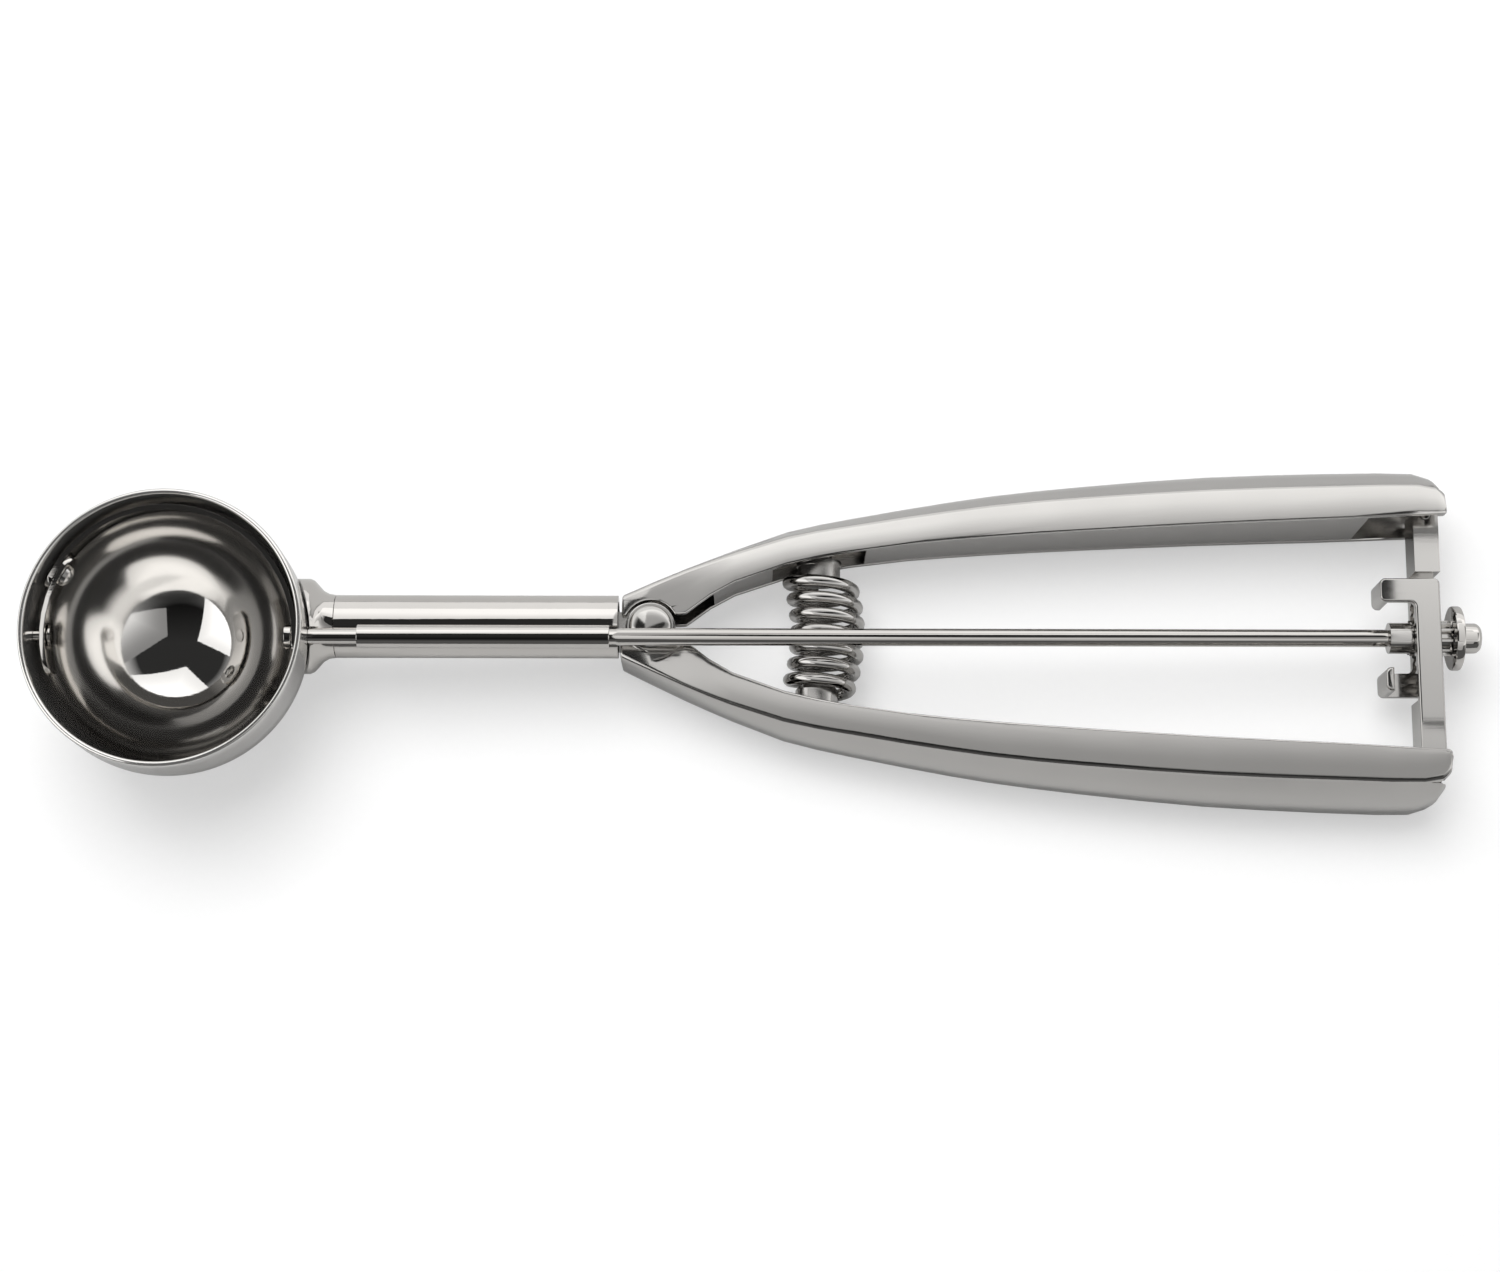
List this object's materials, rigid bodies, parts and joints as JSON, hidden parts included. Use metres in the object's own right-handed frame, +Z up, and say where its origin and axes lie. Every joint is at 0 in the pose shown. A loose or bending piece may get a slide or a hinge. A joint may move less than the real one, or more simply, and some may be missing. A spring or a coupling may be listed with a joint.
{
  "type": "ice cream scoop",
  "caption": "Squeeze-handle steel scoop: round bowl on a neck, hinged hollow handles with a coil spring, and a toothed drive that turns a rod and sweeps a blade round the bowl",
  "frame": {"origin": "middle of the part's box on the surface it stands on, under the bowl's lowest point level", "axes": "+X from the bowl to the handle ends, +Y across the handles toward the handle at the top of the picture, +Z up out of the bowl"},
  "size_m": [0.2082, 0.0492, 0.027],
  "materials": {
    "polished_steel": "mirror polished stainless steel",
    "satin_steel": "polished stainless steel sheet with a soft sheen",
    "plain_steel": "plain stainless steel",
    "spring_steel": "drawn spring wire"
  },
  "bodies": {
    "frame": {"bowl": "polished_steel", "bowl_collar": "polished_steel", "neck_tube": "polished_steel", "guide_tube": "polished_steel", "pivot_tang": "plain_steel", "pivot_rivet": "polished_steel", "far_pivot_pin": "polished_steel", "spring": "spring_steel"},
    "upper_grip": {"upper_handle": "satin_steel", "upper_front_cover": "plain_steel", "upper_rear_cover": "plain_steel", "upper_spring_seat": "plain_steel", "upper_rack_pin": "satin_steel"},
    "lower_grip": {"lower_handle": "satin_steel", "lower_front_cover": "plain_steel", "lower_rear_cover": "plain_steel", "lower_spring_seat": "plain_steel", "lower_rack_pin": "satin_steel"},
    "upper_drive": {"upper_rack": "satin_steel"},
    "lower_drive": {"lower_rack": "satin_steel"},
    "sweep": {"drive_rod": "polished_steel", "pinion": "satin_steel", "rod_washer": "polished_steel", "rod_cap": "polished_steel", "blade": "polished_steel", "blade_strap": "polished_steel", "blade_rivet": "polished_steel", "blade_hub": "polished_steel"}
  },
  "joints": [
    {"name": "squeeze", "type": "hinge", "parent": "frame", "child": "upper_grip", "pos_m": [-0.01447, 0.00198, 0.0125], "axis": [0, 0, -1], "range_deg": [0, 3.27], "stiffness_Nm_per_rad": 3, "springref_deg": -4.58, "deforming": ["spring"]},
    {"name": "lower_squeeze", "type": "hinge", "parent": "frame", "child": "lower_grip", "pos_m": [-0.01447, 0.00198, 0.0125], "axis": [0, 0, 1], "range_deg": [0, 3.27]},
    {"name": "upper_rack_turn", "type": "hinge", "parent": "upper_grip", "child": "upper_drive", "pos_m": [0.09675, 0.01777, 0.016], "axis": [0, 0, 1], "range_deg": [0, 3.27]},
    {"name": "lower_rack_turn", "type": "hinge", "parent": "lower_grip", "child": "lower_drive", "pos_m": [0.09608, -0.018, 0.022], "axis": [0, 0, -1], "range_deg": [0, 3.27]},
    {"name": "blade_sweep", "type": "hinge", "parent": "frame", "child": "sweep", "pos_m": [-0.08321, -0.00012, 0.02], "axis": [-1, 0, 0], "range_deg": [0, 165.4]}
  ],
  "couplings": [
    {"joint": "lower_squeeze", "follows": "squeeze", "ratio": 1},
    {"joint": "upper_rack_turn", "follows": "squeeze", "ratio": 1},
    {"joint": "lower_rack_turn", "follows": "squeeze", "ratio": 1},
    {"joint": "blade_sweep", "follows": "squeeze", "ratio": 50.554}
  ]
}
